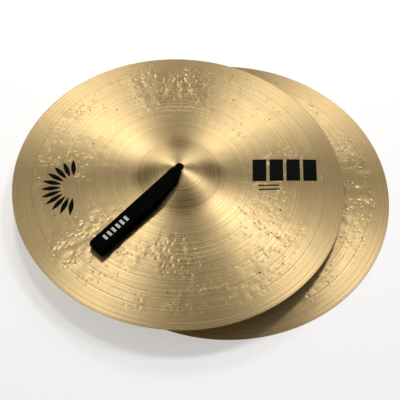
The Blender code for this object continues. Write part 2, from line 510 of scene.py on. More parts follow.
    def hammering(
        self, nodes: ShaderBuilder, flat: Socket, radius: Socket, shape: "CymbalShape"
    ) -> tuple[Socket, Socket]:
        """Where the bronze is hammered, and its smaller dents.

        Args:
            nodes: the material's nodes.
            flat: place across and along the cymbal.
            radius: distance from the cymbal's axis.
            shape: the cymbal's sizes.

        Returns:
            The patches' noise, and the relief of the dents.
        """
        patches = nodes.noise(flat, self.patches_per_metre, 2.0, self.seed)
        strength = self.band(nodes, radius, shape, self.dents_inner, self.dents_outer)
        strength = nodes.times(strength, nodes.smooth_step(patches, *self.patch_fade))
        ragged = nodes.noise(flat, self.dent_shifts_per_metre, 1.0, self.seed + 2)
        shifted = nodes.vector("ADD", flat, nodes.scaled(ragged, self.dent_shift))
        inputs = {"Vector": shifted, "Scale": self.dents_per_metre}
        cells = nodes.add("ShaderNodeTexVoronoi", inputs, feature="F1")
        bowl = nodes.smooth_step(cells.outputs["Distance"], 0.0, 0.5)
        return patches, nodes.times(bowl, strength)

    def pits(self, nodes: ShaderBuilder, flat: Socket, radius: Socket, shape: "CymbalShape") -> Socket:
        """Small dark pits left by the casting and the hammer, in some of the places only.

        Args:
            nodes: the material's nodes.
            flat: place across and along the cymbal.
            radius: distance from the cymbal's axis.
            shape: the cymbal's sizes.

        Returns:
            1 in a pit and 0 elsewhere.
        """
        inputs = {"Vector": flat, "Scale": self.pits_per_metre, "Randomness": 1.0}
        cells = nodes.add("ShaderNodeTexVoronoi", inputs)
        spot = nodes.smooth_step(cells.outputs["Distance"], *self.pit_edge)
        chance = nodes.add("ShaderNodeSeparateColor", {0: cells.outputs["Color"]})
        chosen = nodes.math("LESS_THAN", chance.outputs[0], self.pit_share)
        band = self.band(nodes, radius, shape, self.pits_inner, self.pits_outer)
        return nodes.times(nodes.times(spot, chosen), band)

    def colour(self, nodes: ShaderBuilder, flat: Socket, grooves: Socket, marks: Socket) -> Socket:
        """Colour of the bronze: uneven gold, with painted shade in spots round the bell's foot, both deeper
        along the rings.

        Args:
            nodes: the material's nodes.
            flat: place across and along the cymbal.
            grooves: relief of the rings.
            marks: how dark the pits and the deeper lines are.

        Returns:
            The colour.
        """
        uneven = nodes.noise(flat, self.clouds_per_metre, 3.0, self.seed + 4)
        line = nodes.smooth_step(grooves, *self.groove_fade)
        share = nodes.times_plus(line, self.groove_share, nodes.times(uneven, self.cloud_share))
        gold = nodes.mix(share, self.pale, self.deep)
        rags = nodes.noise(flat, self.rags_per_metre, 3.0, self.seed + 5)
        ragged = nodes.times_plus(rags, self.foot_shade_raggedness, -self.foot_shade_raggedness / 2)
        # paints shade in spots round the bell's foot, ragged at the edge and deeper along the rings
        foot_shaded: Any = 0.0
        for x, y, spread in self.painted_foot_shade_spots:
            away = nodes.vector("LENGTH", nodes.vector("SUBTRACT", flat, (x, y, 0.0)))
            reach = nodes.plus(nodes.math("DIVIDE", away, spread), ragged)
            foot_shaded = nodes.math("MAXIMUM", foot_shaded, nodes.smooth_step(reach, *self.foot_shade_fade))
        depth = nodes.times_plus(line, self.foot_shade_in_grooves, self.foot_shade_strength)
        gold = nodes.mix(nodes.times(foot_shaded, depth), gold, self.painted_foot_shade)
        return nodes.mix(nodes.times(marks, self.mark_darkness), gold, self.pit)


@dataclass(frozen=True)
class LeatherFinish:
    """Black strap leather with a fine grain, a little paler where it is rubbed and at its cut edges."""

    black: Triple = (0.0010, 0.0016, 0.0009)
    worn: Triple = (0.0060, 0.0070, 0.0052)
    cut_edge: Triple = (0.0050, 0.0045, 0.0040)
    roughness: float = 0.66
    cloud_roughness: float = 0.16
    edge_roughness: float = 0.1
    gloss: float = 0.02
    grain_depth: float = 0.00016
    grains_per_metre: float = 1100.0
    grain_relief: float = 0.45
    creases_per_metre: float = 260.0
    crease_relief: float = 0.9
    clouds_per_metre: float = 45.0
    rubbed_fade: Pair = (0.48, 0.75)
    rubbed_share: float = 0.5
    edge_share: float = 0.8
    seed: float = 8.0

    def make(self, name: str) -> bpy.types.Material:
        """Builds the leather. Its mesh carries an attribute, edge, which is 1 on the cut edges.

        Args:
            name: the material's name.

        Returns:
            The material.
        """
        nodes = ShaderBuilder(name)
        own = nodes.add("ShaderNodeTexCoord").outputs["Object"]
        cells = nodes.add("ShaderNodeTexVoronoi", {"Vector": own, "Scale": self.grains_per_metre})
        pebble = nodes.smooth_step(cells.outputs["Distance"], 0.0, 0.8)
        creases = nodes.noise(own, self.creases_per_metre, 4.0, self.seed)
        cloudy = nodes.noise(own, self.clouds_per_metre, 3.0, self.seed + 1)
        edge = nodes.add("ShaderNodeAttribute", attribute_name="edge").outputs["Fac"]
        rubbed = nodes.times(nodes.smooth_step(cloudy, *self.rubbed_fade), self.rubbed_share)
        colour = nodes.mix(rubbed, self.black, self.worn)
        colour = nodes.mix(nodes.times(edge, self.edge_share), colour, self.cut_edge)
        height = nodes.times_plus(creases, self.crease_relief, nodes.times(pebble, self.grain_relief))
        dull = nodes.times_plus(cloudy, self.cloud_roughness, self.roughness - self.cloud_roughness / 2)
        roughness = nodes.times_plus(edge, self.edge_roughness, dull)
        nodes.set_even(Specular_IOR_Level=self.gloss)
        return nodes.finish(colour, roughness, height, self.grain_depth)


@dataclass(frozen=True)
class PrintFinish:
    """Ink or foil laid on as a thin film."""

    tint: Triple
    roughness: float
    metallic: float
    worn: Triple
    gloss: float = 0.04
    specks_per_metre: float = 900.0
    speck_fade: Pair = (0.5, 0.8)
    speck_share: float = 0.5
    clouds_per_metre: float = 160.0
    cloud_roughness: float = 0.12
    depth: float = 0.00002

    def make(self, name: str) -> bpy.types.Material:
        """Builds the film, with a little unevenness where it is thin.

        Args:
            name: the material's name.

        Returns:
            The material.
        """
        nodes = ShaderBuilder(name)
        own = nodes.add("ShaderNodeTexCoord").outputs["Object"]
        thin = nodes.noise(own, self.specks_per_metre, 3.0, 2.0)
        cloudy = nodes.noise(own, self.clouds_per_metre, 2.0, 5.0)
        share = nodes.times(nodes.smooth_step(thin, *self.speck_fade), self.speck_share)
        colour = nodes.mix(share, self.tint, self.worn)
        even = self.roughness - self.cloud_roughness / 2
        roughness = nodes.times_plus(cloudy, self.cloud_roughness, even)
        nodes.set_even(Metallic=self.metallic, Specular_IOR_Level=self.gloss)
        return nodes.finish(colour, roughness, thin, self.depth)


BLACK_INK = PrintFinish((0.004, 0.006, 0.004), 0.6, 0.0, (0.010, 0.012, 0.008))
SILVER_FOIL = PrintFinish((0.62, 0.61, 0.57), 0.42, 0.15, (0.40, 0.39, 0.36))


# ---------------------------------------------------------------- cymbal


@dataclass(frozen=True)
class CymbalShape:
    """Sizes of one cymbal: a shallow bow with a round bell in the middle, turned about its axis."""

    rim_radius: float = 0.2413
    bow_rise: float = 0.0275
    bell_radius: float = 0.065
    bell_rise: float = 0.019
    bell_fullness: float = 1.3
    hole_radius: float = 0.00635
    rim_thickness: float = 0.0012
    bell_thickness: float = 0.0018
    rim_land: float = 0.0010
    edge_round: float = 0.00035
    foot_softness: float = 0.005

    @property
    def apex(self) -> float:
        """Height of the bell's top above the rim's plane."""
        return self.rim_thickness + self.bow_rise + self.bell_rise

    def top(self, radius: float) -> float:
        """Height of the upper face at this radius, before its bends are softened."""
        inside = max(0.0, 1 - (radius / self.bell_radius) ** 2)
        return self.bow(radius) + self.bell_rise * inside**self.bell_fullness

    def soft_top(self, radius: float) -> float:
        """Height of the upper face with the bend at the bell's foot drawn out.

        Args:
            radius: distance from the cymbal's axis.

        Returns:
            The mean height of the bell about here, weighted towards the middle, on top of the bow.
        """
        offsets = [self.foot_softness * i / 6 for i in range(-12, 13)]
        weights = [math.exp(-0.5 * (offset / self.foot_softness) ** 2) for offset in offsets]
        bell = [self.top(abs(radius + offset)) - self.bow(abs(radius + offset)) for offset in offsets]
        soft = sum(weight * height for weight, height in zip(weights, bell)) / sum(weights)
        return self.bow(radius) + soft

    def bow(self, radius: float) -> float:
        """Height of the shallow bow alone."""
        return self.rim_thickness + self.bow_rise * (1 - (radius / self.rim_radius) ** 2)

    def under(self, radius: float) -> float:
        """Height of the lower face at this radius."""
        thinner = (self.rim_thickness - self.bell_thickness) * (radius / self.rim_radius)
        return self.soft_top(radius) - self.bell_thickness - thinner


@dataclass
class Cymbal:
    """One cymbal: its turned and hammered bronze.

    A name that ends in per_metre is how many features of noise come to a metre. The waves are
    broad and unordered; the ridges run outwards, and are counted round the cymbal and out along it.
    """

    side: Side
    place: Matrix
    shape: CymbalShape
    finish: BronzeFinish
    top_rings: int = 146
    under_rings: int = 44
    turn_steps: int = 384
    ring_height: float = 0.000007
    dent_depth: float = 0.00018
    dent_scale: float = 78.0
    weld: float = 0.000002
    under_hammering: float = 0.45
    patches_per_metre: float = 13.0
    patch_fade: Pair = (0.34, 0.64)
    waves_per_metre: float = 30.0
    wave_strength: float = 4.0
    ridges_round: float = 14.0
    ridges_outwards: float = 25.0
    ridge_strength: float = 3.0

    def radii(self, count: int, start: float, end: float) -> list[float]:
        """Radii spread evenly from start to end, both included."""
        return [start + (end - start) * i / (count - 1) for i in range(count)]

    def profile(self) -> list[Triple]:
        """The outline that is turned: out along the top, round the rim, back beneath and up the hole.

        Returns:
            For each point its radius, its height and how strongly it is hammered.
        """
        shape = self.shape
        soft = shape.edge_round
        ripple = random.Random(self.finish.seed)
        points = [(shape.hole_radius, shape.soft_top(shape.hole_radius) - soft, 0.0)]
        for radius in self.radii(self.top_rings, shape.hole_radius + soft, shape.rim_radius - soft):
            ring = ripple.uniform(-1.0, 1.0) * self.ring_height
            points.append((radius, shape.soft_top(radius) + ring, self.hammered(radius)))
        points += self.rim_round(shape.rim_thickness - soft, 45, 0)
        points += self.rim_round(soft, 0, -45)
        points.append((shape.rim_radius - soft, 0.0, 0.0))
        points.append((shape.rim_radius - shape.rim_land, 0.0, 0.0))
        inner = shape.rim_radius - 2 * shape.rim_land
        for radius in self.radii(self.under_rings, inner, shape.hole_radius + soft):
            points.append((radius, shape.under(radius), self.under_hammering * self.hammered(radius)))
        points.append((shape.hole_radius, shape.under(shape.hole_radius) + soft, 0.0))
        return points

    def rim_round(self, height: float, start: float, end: float) -> list[Triple]:
        """Points that round one edge of the rim.

        Args:
            height: height of the middle of the rounding.
            start: first angle in degrees.
            end: last angle in degrees.

        Returns:
            The points as in the outline.
        """
        soft = self.shape.edge_round
        centre = self.shape.rim_radius - soft
        angles = [math.radians(start), math.radians(end)]
        return [(centre + soft * math.cos(a), height + soft * math.sin(a), 0.0) for a in angles]

    def hammered(self, radius: float) -> float:
        """How strongly the bronze is hammered here: not on the bell, and not in the band at the rim.

        Args:
            radius: distance from the cymbal's axis.

        Returns:
            A share from 0 to 1.
        """
        shape = self.shape
        inner = (radius - 1.15 * shape.bell_radius) / (0.9 * shape.bell_radius)
        outer = (0.95 * shape.rim_radius - radius) / (0.08 * shape.rim_radius)
        return max(0.0, min(1.0, inner, outer))

    def outline_mesh(self) -> bpy.types.Mesh:
        """The outline as loose points.

        Returns:
            The mesh, whose attribute, hammered, is each point's share of hammering.
        """
        points = self.profile()
        mesh = bpy.data.meshes.new(f"{self.side.value}_outline")
        mesh.from_pydata([(radius, 0.0, height) for radius, height, _ in points], [], [])
        share = mesh.attributes.new("hammered", "FLOAT", "POINT")
        share.data.foreach_set("value", [hammered for _, _, hammered in points])
        return mesh

    def turning_tree(self, count: int, material: bpy.types.Material) -> GeometryBuilder:
        """The nodes that turn the outline about the axis and hammer the bronze.

        Args:
            count: how many points the outline has.
            material: the bronze.

        Returns:
            The tree, ready to run on the outline.
        """
        nodes = GeometryBuilder(f"{self.side.value}_turned_bronze")
        steps = nodes.input("Steps Round", "Int", self.turn_steps)
        points = nodes.input("Outline Points", "Int", count)
        depth = nodes.input("Dent Depth", "Float", self.dent_depth)
        scale = nodes.input("Dents Per Metre", "Float", self.dent_scale)
        seed = nodes.input("Seed", "Float", self.finish.seed)
        rows = nodes.plus(points, 1.0)
        columns = nodes.plus(steps, 1.0)
        grid = nodes.add("GeometryNodeMeshGrid", {"Vertices X": rows, "Vertices Y": columns})
        index = nodes.add("GeometryNodeInputIndex").outputs[0]
        row = nodes.math("FLOOR", nodes.math("DIVIDE", nodes.plus(index, 0.5), columns))
        column = nodes.minus(index, nodes.times(row, columns))
        angle = nodes.math("DIVIDE", nodes.times(column, math.tau), steps)
        wrapped = nodes.math("MODULO", row, points)
        where = nodes.add("GeometryNodeInputPosition").outputs[0]
        source = nodes.entry.outputs["Geometry"]
        outline = self.sample(nodes, "FLOAT_VECTOR", source, where, wrapped)
        hammered = nodes.add("GeometryNodeInputNamedAttribute", data_type="FLOAT")
        hammered.inputs["Name"].default_value = "hammered"
        share = self.sample(nodes, "FLOAT", source, hammered.outputs[0], wrapped)
        radius, _, level = nodes.parted(outline)
        across = nodes.times(radius, nodes.math("COSINE", angle))
        along = nodes.times(radius, nodes.math("SINE", angle))
        relief = self.relief(nodes, nodes.joined(across, along), scale, seed)
        height = nodes.minus(level, nodes.times(nodes.times(relief, depth), share))
        place = nodes.joined(across, along, height)
        turned = nodes.add("GeometryNodeSetPosition", {"Geometry": grid.outputs[0], "Position": place})
        inputs = {"Geometry": turned.outputs[0], "Distance": self.weld}
        welded = nodes.add("GeometryNodeMergeByDistance", inputs)
        smooth = nodes.add("GeometryNodeSetShadeSmooth", {"Geometry": welded.outputs[0]})
        nodes.close(smooth.outputs[0], material)
        return nodes

    @staticmethod
    def sample(nodes: GeometryBuilder, kind: str, source: Socket, value: Socket, index: Socket) -> Socket:
        """Reads a value from one point of the outline.

        Args:
            nodes: the tree.
            kind: data type of the value.
            source: the outline's geometry.
            value: what is read.
            index: which point.

        Returns:
            The socket of the value read.
        """
        node = nodes.add(
            "GeometryNodeSampleIndex",
            {"Geometry": source, "Value": value, "Index": index},
            data_type=kind,
            domain="POINT",
        )
        return node.outputs[0]

    def relief(self, nodes: GeometryBuilder, flat: Socket, scale: Socket, seed: Socket) -> Socket:
        """How far the hammer has sunk the bronze: dents, waves and ridges, stronger in some patches.

        Args:
            nodes: the tree.
            flat: place across and along the cymbal.
            scale: dents to a metre.
            seed: which pattern.

        Returns:
            The depth in units of the dents' depth, below 0 where the bronze stands up.
        """
        cells = nodes.add("ShaderNodeTexVoronoi", {"Vector": flat, "Scale": scale}, feature="F1")
        bowl = nodes.smooth_step(cells.outputs["Distance"], 0.6, 0.0)
        patches = nodes.noise(flat, self.patches_per_metre, 2.0, seed)
        waves = nodes.noise(flat, self.waves_per_metre, 2.0, nodes.plus(seed, 7.0))
        across, along, _ = nodes.parted(nodes.vector("NORMALIZE", flat))
        outwards = nodes.times(nodes.vector("LENGTH", flat), self.ridges_outwards)
        fanned = nodes.joined(
            nodes.times(across, self.ridges_round), nodes.times(along, self.ridges_round), outwards
        )
        ridges = nodes.noise(fanned, 1.0, 2.0, nodes.plus(seed, 13.0))
        sunk = nodes.times_plus(nodes.minus(waves, 0.5), self.wave_strength, bowl)
        sunk = nodes.times_plus(nodes.minus(ridges, 0.5), self.ridge_strength, sunk)
        return nodes.times(sunk, nodes.smooth_step(patches, *self.patch_fade))

    def build(self) -> bpy.types.Object:
        """Turns and dresses the cymbal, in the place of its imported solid.

        Returns:
            The finished piece.
        """
        name = self.side.value
        material = self.finish.make(f"{name}_hammered_bronze", self.place, self.shape)
        outline = self.outline_mesh()
        tree = self.turning_tree(len(outline.vertices), material)
        piece = tree.run(f"{name}_cymbal_bronze", outline, self.place)
        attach(piece, f"{name}_cymbal")
        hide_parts(f"{name}_cymbal")
        LOG.info("%s: %d faces", piece.name, len(piece.data.polygons))
        return piece


# ---------------------------------------------------------------- printed marks


@dataclass(frozen=True)
class PrintedShape:
    """One flat printed shape, drawn round its own middle before it is laid on a surface."""

    corners: tuple[Pair, ...]
    cuts: int = 5

    def mesh(self, name: str) -> bpy.types.Mesh:
        """The shape as small faces, so that it can follow a curved surface.

        Args:
            name: the mesh's name.

        Returns:
            The mesh.
        """
        shape = bmesh.new()
        rim = [shape.verts.new((x, y, 0.0)) for x, y in self.corners]
        shape.faces.new(rim)
        bmesh.ops.triangulate(shape, faces=shape.faces[:])
        bmesh.ops.subdivide_edges(shape, edges=shape.edges[:], cuts=self.cuts, use_grid_fill=True)
        bmesh.ops.triangulate(shape, faces=shape.faces[:])
        mesh = bpy.data.meshes.new(name)
        shape.to_mesh(mesh)
        shape.free()
        return mesh


def petal(length: float, width: float, steps: int = 8) -> PrintedShape:
    """A slim leaf, pointed at both ends, lying along X.

    Args:
        length: from point to point.
        width: across its middle.
        steps: how many stretches each side has.

    Returns:
        The leaf.
    """
    shares = [i / steps for i in range(steps + 1)]
    upper = [(length * (share - 0.5), width / 2 * math.sin(math.pi * share)) for share in shares]
    lower = [(x, -y) for x, y in reversed(upper[1:-1])]
    return PrintedShape(tuple(lower[::-1] + upper[::-1]), cuts=3)


def slanted_bar(width: float, height: float, slant: float) -> PrintedShape:
    """A four-cornered bar whose top is pushed along X by slant."""
    ways = ((-1, -1), (1, -1), (1, 1), (-1, 1))
    return PrintedShape(tuple((x * width / 2 + y * slant / 2, y * height / 2) for x, y in ways))


@dataclass
class PrintedMark:
    """A row or a fan of equal printed shapes, laid on the surface below them as a thin film."""

    name: str
    shape: PrintedShape
    finish: PrintFinish
    body: str
    count: int
    start: Vector
    step: Vector
    turn: float = 0.0
    fan_centre: Optional[Vector] = None
    fan_angle: float = 0.0
    film: float = 0.00009
    reach: float = 0.06
    longest_drop: float = 0.2

    def tree(self, target: bpy.types.Object, material: bpy.types.Material, place: Matrix) -> GeometryBuilder:
        """The nodes that repeat the shape and let it down onto the target.

        Args:
            target: the piece that the mark is printed on.
            material: the ink or foil.
            place: matrix from the mark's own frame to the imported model's.

        Returns:
            The tree, ready to run on the shape.
        """
        nodes = GeometryBuilder(self.name)
        count = nodes.input("Count", "Int", self.count)
        start = nodes.input("First Place", "Vector", self.start)
        step = nodes.input("Step", "Vector", self.step)
        turn = nodes.input("Turn", "Float", self.turn)
        sweep = nodes.input("Turn Per Shape", "Float", self.fan_angle)
        film = nodes.input("Film", "Float", self.film)
        surface = nodes.input("Surface", "Object", target)
        down = nodes.input("Down", "Vector", place.to_3x3() @ Vector((0, 0, -1)))
        inputs = {"Count": count, "Start Location": start, "Offset": step}
        line = nodes.add("GeometryNodeMeshLine", inputs, mode="OFFSET")
        index = nodes.add("GeometryNodeInputIndex").outputs[0]
        angle = nodes.times_plus(index, sweep, turn)
        points = line.outputs[0]
        if self.fan_centre is not None:
            points = self.fanned(nodes, points, angle)
        real = nodes.add("GeometryNodeRealizeInstances", {"Geometry": nodes.copies(points, angle)})
        placed = nodes.add(
            "GeometryNodeTransform",
            {"Geometry": real.outputs[0], "Translation": place.translation, "Rotation": place.to_euler()},
        )
        laid = self.laid_down(nodes, placed.outputs[0], surface, down, film)
        nodes.close(laid, material)
        return nodes

    def fanned(self, nodes: GeometryBuilder, points: Socket, angle: Socket) -> Socket:
        """Sets the points round the fan's centre, each at its own angle.

        Args:
            nodes: the tree.
            points: the points of the row.
            angle: each point's angle.

        Returns:
            The points of the fan.
        """
        centre = nodes.input("Fan Centre", "Vector", self.fan_centre)
        spread = nodes.input("Fan Radius", "Float", self.reach)
        outward = nodes.joined(nodes.math("COSINE", angle), nodes.math("SINE", angle))
        place = nodes.vector("ADD", centre, nodes.scaled(outward, spread))
        return nodes.add("GeometryNodeSetPosition", {"Geometry": points, "Position": place}).outputs[0]

    def laid_down(
        self, nodes: GeometryBuilder, mesh: Socket, surface: Socket, down: Socket, film: Socket
    ) -> Socket:
        """Drops every point onto the surface and lifts it off by the film's thickness.

        Args:
            nodes: the tree.
            mesh: the shapes in their places above the surface.
            surface: the piece that they are printed on.
            down: which way they drop.
            film: the film's thickness.

        Returns:
            The shapes on the surface.
        """
        info = nodes.add("GeometryNodeObjectInfo", {"Object": surface}, transform_space="ORIGINAL")
        ray = {"Ray Direction": down, "Ray Length": self.longest_drop}
        hit = nodes.add("GeometryNodeRaycast", {"Target Geometry": info.outputs["Geometry"], **ray})
        lift = nodes.scaled(hit.outputs["Hit Normal"], film)
        place = nodes.vector("ADD", hit.outputs["Hit Position"], lift)
        dropped = nodes.add("GeometryNodeSetPosition", {"Geometry": mesh, "Position": place})
        return nodes.add("GeometryNodeSetShadeSmooth", {"Geometry": dropped.outputs[0]}).outputs[0]

    def build(self, target: bpy.types.Object, place: Matrix, slot: Slot) -> bpy.types.Object:
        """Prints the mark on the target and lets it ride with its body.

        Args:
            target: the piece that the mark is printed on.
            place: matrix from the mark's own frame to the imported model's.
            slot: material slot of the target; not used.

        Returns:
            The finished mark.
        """
        material = self.finish.make(f"{self.name}_film")
        tree = self.tree(target, material, place)
        piece = tree.run(self.name, self.shape.mesh(f"{self.name}_shape"), Matrix.Identity(4))
        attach(piece, self.body)
        LOG.info("%s: %d faces", piece.name, len(piece.data.polygons))
        return piece


# ---------------------------------------------------------------- leather


@dataclass(frozen=True)
class StripSection:
    """Cross-section of a leather strip with rubbed corners and slightly domed faces."""

    thickness: float
    corner: float
    dome: float = 0.0
    corner_steps: int = 3
    face_steps: int = 6

    def outline(self, left: float, right: float) -> list[Triple]:
        """Points round the section, from the left edge over the top to the right and back beneath.

        Args:
            left: where the left edge is.
            right: where the right edge is.

        Returns:
            For each point its place across, its height and 1 if it is on a cut edge.
        """
        half = self.thickness / 2
        inset = half - self.corner
        points = []
        for centre, height, start in (
            (right - self.corner, inset, 90),
            (right - self.corner, -inset, 0),
            (left + self.corner, -inset, -90),
            (left + self.corner, inset, -180),
        ):
            for i in range(self.corner_steps + 1):
                angle = math.radians(start - 90 * i / self.corner_steps)
                across = centre + self.corner * math.cos(angle)
                points.append((across, height + self.corner * math.sin(angle), abs(math.cos(angle))))
            if start in (0, -180):
                points += self.face(left, right, half if start == -180 else -half)
        return points

    def face(self, left: float, right: float, height: float) -> list[Triple]:
        """Inner points of the top or bottom face, in the order that the outline runs.

        Args:
            left: where the left edge is.
            right: where the right edge is.
            height: height of the face, below 0 for the bottom one.

        Returns:
            The points as in the outline.
        """
        low, high = left + self.corner, right - self.corner
        way = 1 if height > 0 else -1
        points = []
        for i in range(1, self.face_steps):
            share = i / self.face_steps if way > 0 else 1 - i / self.face_steps
            bulge = self.dome * math.sin(math.pi * share)
            points.append((low + (high - low) * share, height + way * bulge, 0.0))
        return points


@dataclass(frozen=True)
class Station:
    """One place along a strip: its middle, which way is across and up, and its edges."""

    middle: Vector
    across: Vector
    up: Vector
    left: float
    right: float


def strip_mesh(name: str, stations: Sequence[Station], section: StripSection) -> bpy.types.Mesh:
    """A closed strip of leather through the stations, with both its ends capped.

    Args:
        name: the mesh's name.
        stations: the places along it in order.
        section: its cross-section.

    Returns:
        The mesh, with the attribute edge set to 1 on its cut edges.
    """
    shape = bmesh.new()
    wear = shape.verts.layers.float.new("edge")
    rings = []
    for station in stations:
        ring = []
        for across, height, cut in section.outline(station.left, station.right):
            vertex = shape.verts.new(station.middle + station.across * across + station.up * height)
            vertex[wear] = cut
            ring.append(vertex)
        rings.append(ring)
    count = len(rings[0])
    for before, after in zip(rings, rings[1:]):
        for i in range(count):
            j = (i + 1) % count
            shape.faces.new((before[i], before[j], after[j], after[i]))
    shape.faces.new(rings[0][::-1])
    shape.faces.new(rings[-1])
    bmesh.ops.recalc_face_normals(shape, faces=shape.faces[:])
    for face in shape.faces:
        face.smooth = True
    mesh = bpy.data.meshes.new(name)
    shape.to_mesh(mesh)
    shape.free()
    return mesh


def smooth_curve(points: Sequence[Vector], per_stretch: int) -> list[Vector]:
    """A smooth curve through the points, by Catmull and Rom's formula.

    Args:
        points: the points that it goes through.
        per_stretch: how many steps there are from each to the next.

    Returns:
        The points of the curve.
    """
    padded = [2 * points[0] - points[1], *points, 2 * points[-1] - points[-2]]
    curve = []
    for a, b, c, d in zip(padded, padded[1:], padded[2:], padded[3:]):
        for i in range(per_stretch):
            t = i / per_stretch
            bend = (2 * a - 5 * b + 4 * c - d) * t**2 + (3 * b - a - 3 * c + d) * t**3
            curve.append(0.5 * (2 * b + (c - a) * t + bend))
    return [*curve, points[-1]]


@dataclass
class Strap:
    """One hand strap: the loop over the bell and the four laces knotted beneath it."""

    side: Side
    cymbal: Matrix
    shape: CymbalShape
    leather: bpy.types.Material
    turn: float
    raised: float
    width: float = 0.0230
    thickness: float = 0.0025
    reach: float = 0.1722
    sidestep: float = 0.0073
    loop_height: float = 0.0165
    fold_radius: float = 0.0032
    neck_width: float = 0.0110
    neck_squeeze: float = 0.22
    shoulder_reach: float = 0.0240
    clearance: float = 0.0003
    lace_thickness: float = 0.0022
    lace_play: float = 0.0012
    tail_reach: float = 0.034
    knot_spread: float = 0.0026
    gather: float = 0.0034
    gather_reach: float = 0.0150
    leaf_steps: int = 44
    bend_steps: int = 9
    lace_steps: int = 7
    touch_trials: int = 24
    lip: float = 0.0007
    tuck: float = 0.0004
    slope_step: float = 0.0001
    corner: float = 0.0006
    dome: float = 0.00012
    lace_corner: float = 0.0005
    lace_dome: float = 0.00008
    bend_low: Triple = (0.0010, 0.0, -0.0030)
    bend_high: Triple = (0.0056, 0.0, 0.0004)

    @property
    def loop_bend(self) -> float:
        """Half the distance between the middles of the two leaves where they enter the hole."""
        return (self.thickness + self.clearance) / 2

    @property
    def hinge_height(self) -> float:
        """Height above the rim's plane of the line that the loop swings on."""
        return self.shape.apex + self.clearance + self.thickness / 2 + self.loop_bend

    @property
    def lace_width(self) -> float:
        """Width of a lace, as wide as four of them can be in the hole."""
        square = math.sqrt(2) * (self.shape.hole_radius - self.lace_play)
        return square - self.lace_thickness - 2 * self.clearance

    @property
    def swivel_place(self) -> Matrix:
        """Frame at the top of the hole, turned to the side that the strap lies to."""
        lift = Matrix.Translation((0, 0, self.shape.apex))
        return self.cymbal @ lift @ Matrix.Rotation(self.turn, 4, "Z")

    @property
    def hinge_place(self) -> Matrix:
        """Frame of the line that the loop swings on, as the loop lies."""
        lift = Matrix.Translation((0, 0, self.hinge_height - self.shape.apex))
        return self.swivel_place @ lift @ Matrix.Rotation(-self.raised, 4, "Y")

    def lower_leaf(self, reach: float) -> Pair:
        """Middle of the lower leaf, which lies along the cymbal.

        Args:
            reach: distance from the cymbal's axis.

        Returns:
            Its place out from the axis, and its height above the line that the loop swings on.
        """
        step = self.slope_step
        slope = math.atan((self.shape.top(reach + step) - self.shape.top(reach - step)) / (2 * step))
        lift = self.clearance + self.thickness / 2
        along = reach - lift * math.sin(slope)
        return along, self.shape.top(reach) + lift * math.cos(slope) - self.hinge_height

    def resting_leaf(self, reach: float) -> Pair:
        """Middle of the upper leaf where it lies on the lower one."""
        along, height = self.lower_leaf(reach)
        return along, height + self.thickness + self.clearance

    def arc(self, centre: Pair, radius: float, start: float, end: float) -> list[Pair]:
        """Points of an arc in the plane of the loop.

        Args:
            centre: its centre.
            radius: its radius.
            start: first angle in degrees.
            end: last angle in degrees.

        Returns:
            The points.
        """
        steps = self.bend_steps
        angles = [math.radians(start + (end - start) * i / steps) for i in range(steps + 1)]
        return [(centre[0] + radius * math.cos(a), centre[1] + radius * math.sin(a)) for a in angles]

    def loop_path(self) -> list[Pair]:
        """Middle of the leather, from the hole along the lower leaf, round the fold and back.

        Returns:
            Points out from the axis and above the line that the loop swings on.
        """
        drop = self.hinge_height - self.shape.apex
        near = self.loop_bend * 0.95
        end = self.reach - self.thickness / 2
        bend_start = end - self.fold_radius
        first = self.loop_bend + self.thickness * 1.6
        path = [(near, -drop - self.tuck), (near * 1.02, -drop * 0.86), (near * 1.5, -drop * 0.64)]
        for i in range(self.leaf_steps):
            path.append(self.lower_leaf(first + (bend_start - first) * i / (self.leaf_steps - 1)))
        low = path[-1][1] + self.fold_radius
        high = low + self.loop_height - self.thickness - 2 * self.fold_radius
        path += self.arc((bend_start, low), self.fold_radius, -80, -4)
        path += self.arc((bend_start + self.lip, high), self.fold_radius, 6, 84)
        path += self.upper_leaf(path[-1])
        top = self.loop_bend
        bend = self.loop_bend * 1.9
        path += self.arc((-near + bend * 0.75, top - bend), bend, 84, 176)
        path += [(-near - 0.0003, -drop * 0.9), (-near - 0.0002, -drop - self.tuck)]
        return path

    def upper_leaf(self, start: Pair) -> list[Pair]:
        """Middle of the upper leaf: straight from the fold, then lying on the lower leaf near the hole.

        Args:
            start: where the fold ends.

        Returns:
            Its points, from the fold to the hole.
        """

        def steepness(trial: float) -> float:
            """Slope from where the fold ends to the lower leaf at this reach."""
            along, height = self.resting_leaf(trial)
            return (height - start[1]) / (start[0] - along)

        count = self.touch_trials
        trials = [self.shoulder_reach * i / count for i in range(1, count + 1)]
        touch = max(trials, key=steepness)
        slope = steepness(touch)
        points = []
        nearest = self.loop_bend + self.thickness
        for i in range(1, self.leaf_steps):
            reach = start[0] + (nearest - start[0]) * i / (self.leaf_steps - 1)
            if reach < touch:
                points.append(self.resting_leaf(reach))
            else:
                points.append((reach, start[1] + slope * (start[0] - reach)))
        return points

    def edges(self, reach: float) -> Pair:
        """Where the strap's two edges are, to either side of the hole's middle.

        Args:
            reach: distance from the cymbal's axis.

        Returns:
            The left edge and the right edge.
        """
        share = min(1.0, max(0.0, reach / self.shoulder_reach))
        share = share * (1.25 - 0.25 * share)
        half = self.neck_width / 2 + (self.width - self.neck_width) / 2 * min(1.0, share)
        middle = self.sidestep * min(1.0, share)
        return middle - half, middle + half

    def depth(self, height: float) -> float:
        """How far a point of the neck is down towards the hole, from 0 to 1."""
        drop = self.hinge_height - self.shape.apex
        return min(1.0, max(0.0, (self.loop_bend * 0.4 - height) / drop))

    def drawn_in(self, reach: float, height: float) -> float:
        """How far the strap's far edge is drawn in where the leather is gathered above the hole."""
        near = max(0.0, 1 - abs(reach) / self.gather_reach)
        return self.gather * near * (1 - self.depth(height))

